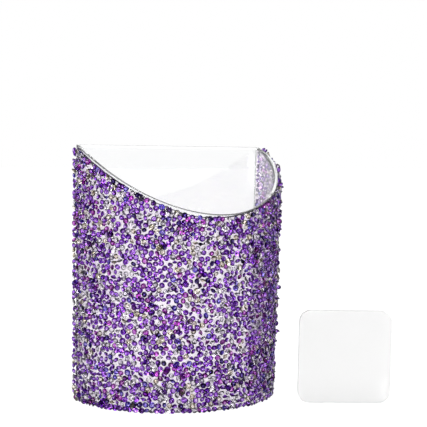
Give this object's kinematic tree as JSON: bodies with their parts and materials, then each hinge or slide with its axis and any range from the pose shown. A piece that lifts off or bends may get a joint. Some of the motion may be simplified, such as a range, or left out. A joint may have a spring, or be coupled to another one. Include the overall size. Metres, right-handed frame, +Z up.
{
  "type": "makeup brush holder",
  "caption": "Clear cup with a flat back, a bowed front and a scooped rim, its curved outside covered in small faceted purple and clear stones, with a loose square wall pad beside it.",
  "frame": {"origin": "on the floor under the cup, half way between its flat back and the front of its bare plastic wall", "axes": "+Z up, +Y out of the flat back towards the wall it may hang on, -Y to the scooped front, +X to the side where the loose pad stands"},
  "size_m": [0.1288, 0.07, 0.114],
  "materials": {
    "clear_plastic": "clear moulded plastic, polished",
    "clear_glue": "clear cured glue, slightly wavy",
    "amethyst_glass": "faceted deep purple glass",
    "violet_glass": "faceted blue-violet glass",
    "plum_glass": "faceted red-purple glass",
    "clear_glass": "faceted clear glass",
    "smoky_glass": "faceted smoky champagne glass",
    "midnight_glass": "faceted near-black violet glass",
    "clear_gel": "soft clear gel, matt",
    "liner_film": "thin milky release film"
  },
  "bodies": {
    "root": {"cup": "clear_plastic", "glue_film": "clear_glue", "stone_field": "amethyst_glass", "rim_stone_01": "amethyst_glass", "rim_stone_02": "violet_glass", "rim_stone_03": "clear_glass", "rim_stone_04": "amethyst_glass", "rim_stone_05": "plum_glass", "rim_stone_06": "clear_glass", "rim_stone_07": "violet_glass", "rim_stone_08": "amethyst_glass", "rim_stone_09": "smoky_glass", "rim_stone_10": "midnight_glass", "rim_stone_11": "amethyst_glass", "rim_stone_12": "violet_glass", "rim_stone_13": "clear_glass", "rim_stone_14": "amethyst_glass", "rim_stone_15": "plum_glass", "rim_stone_16": "clear_glass", "rim_stone_17": "violet_glass", "rim_stone_18": "amethyst_glass", "rim_stone_19": "smoky_glass", "rim_stone_20": "midnight_glass", "rim_stone_21": "amethyst_glass", "rim_stone_22": "violet_glass", "rim_stone_23": "clear_glass", "rim_stone_24": "amethyst_glass", "rim_stone_25": "plum_glass", "rim_stone_26": "clear_glass", "rim_stone_27": "violet_glass", "rim_stone_28": "amethyst_glass", "rim_stone_29": "smoky_glass", "rim_stone_30": "midnight_glass", "rim_stone_31": "amethyst_glass", "rim_stone_32": "violet_glass", "rim_stone_33": "clear_glass", "rim_stone_34": "amethyst_glass", "rim_stone_35": "plum_glass", "rim_stone_36": "clear_glass", "rim_stone_37": "violet_glass", "rim_stone_38": "amethyst_glass", "rim_stone_39": "smoky_glass", "rim_stone_40": "midnight_glass", "rim_stone_41": "amethyst_glass", "rim_stone_42": "violet_glass", "rim_stone_43": "clear_glass", "rim_stone_44": "amethyst_glass", "rim_stone_45": "plum_glass", "rim_stone_46": "clear_glass", "rim_stone_47": "violet_glass", "rim_stone_48": "amethyst_glass", "rim_stone_49": "smoky_glass", "rim_stone_50": "midnight_glass", "pad_gel": "clear_gel", "pad_front_liner": "liner_film", "pad_back_liner": "liner_film"}
  },
  "joints": []
}
